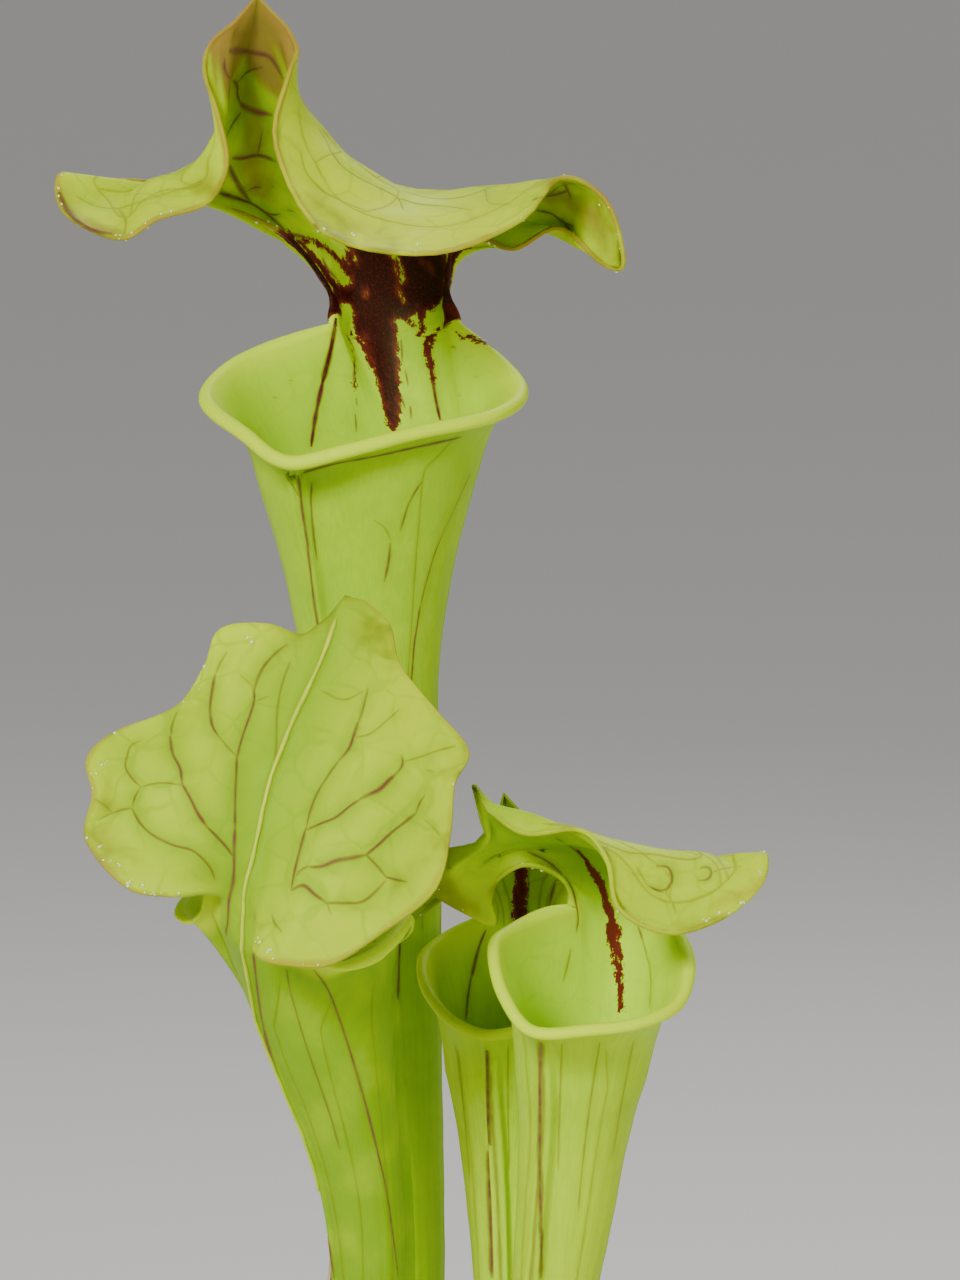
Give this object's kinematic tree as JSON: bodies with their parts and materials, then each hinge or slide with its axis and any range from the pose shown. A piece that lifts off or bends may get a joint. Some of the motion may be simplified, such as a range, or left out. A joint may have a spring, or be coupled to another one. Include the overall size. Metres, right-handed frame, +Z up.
{
  "type": "pitcher plant",
  "caption": "Carnivorous pitcher plant in a round pot: upright tubular leaves with rolled lips, narrow necks and waved, veined lids, rising from a short rhizome.",
  "frame": {"origin": "centre of the pot's foot, on the surface that the pot stands on", "axes": "+Z up along the pot's axis, +X to the viewer's right and +Y away from the viewer of the picture"},
  "size_m": [0.1474, 0.135, 0.5459],
  "materials": {
    "pot_plastic": "moulded nursery-pot plastic, satin",
    "growing_medium": "loose damp peat with grains of perlite; wood stands for its light weight",
    "rhizome_skin": "scaly brown stem skin",
    "dry_leaf": "withered, papery",
    "leaf_green": null
  },
  "bodies": {
    "root": {"pot": "pot_plastic", "growing_medium": "growing_medium", "rhizome": "rhizome_skin", "dry_leaf": "dry_leaf", "pitcher_tall": "leaf_green", "pitcher_left": "leaf_green", "pitcher_right": "leaf_green", "pitcher_rear": "leaf_green"}
  },
  "joints": []
}
